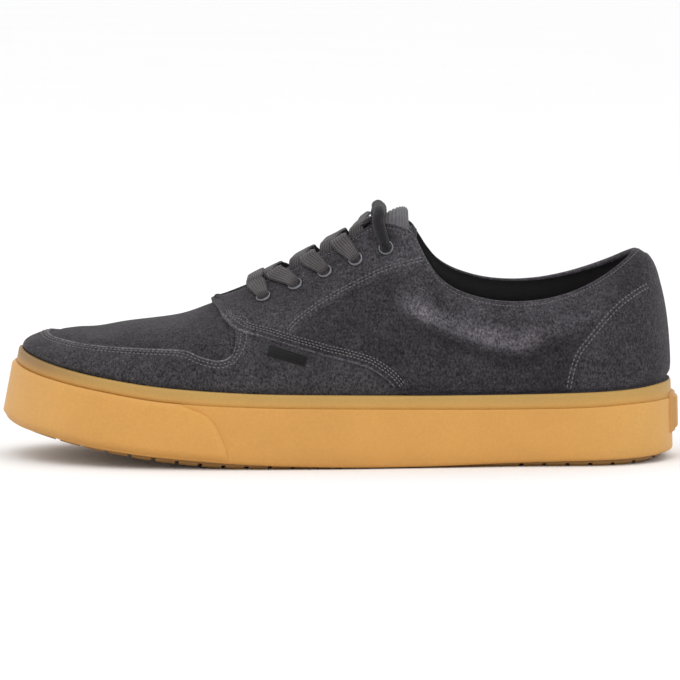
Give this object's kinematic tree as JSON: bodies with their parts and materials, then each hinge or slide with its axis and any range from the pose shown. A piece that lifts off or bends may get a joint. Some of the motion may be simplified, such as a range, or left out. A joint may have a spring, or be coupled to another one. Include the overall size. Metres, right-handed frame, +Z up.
{
  "type": "skateboarding shoe",
  "caption": "Low lace-up skate shoe for the left foot: stitched suede upper with a toe guard, padded collar and tongue, on a flat gum rubber cupped sole with a foxing band.",
  "frame": {"origin": "on the floor, under the middle of the shoe's overall box", "axes": "+Z up, +X along the shoe from toe to heel, +Y towards the inner (medial) side of the foot"},
  "size_m": [0.2977, 0.1108, 0.1119],
  "materials": {
    "gum": "satin",
    "gum_band": "satin",
    "suede": "brushed nap",
    "lining": "matt",
    "tongue_cloth": "matt",
    "tag_cloth": "woven",
    "dark_metal": "satin",
    "lace_cloth": "woven",
    "cord_cloth": "woven"
  },
  "bodies": {
    "root": {"outsole": "gum", "foxing": "gum", "foxing_band": "gum_band", "toe_bumper": "gum", "heel_patch": "gum", "upper": "suede", "insole": "lining", "tongue": "tongue_cloth", "side_tag": "tag_cloth", "eyelet_outer_1": "dark_metal", "eyelet_outer_2": "dark_metal", "eyelet_outer_3": "dark_metal", "eyelet_outer_4": "dark_metal", "eyelet_outer_5": "dark_metal", "eyelet_inner_1": "dark_metal", "eyelet_inner_2": "dark_metal", "eyelet_inner_3": "dark_metal", "eyelet_inner_4": "dark_metal", "eyelet_inner_5": "dark_metal", "lace": "lace_cloth", "lace_top_run": "cord_cloth"}
  },
  "joints": []
}
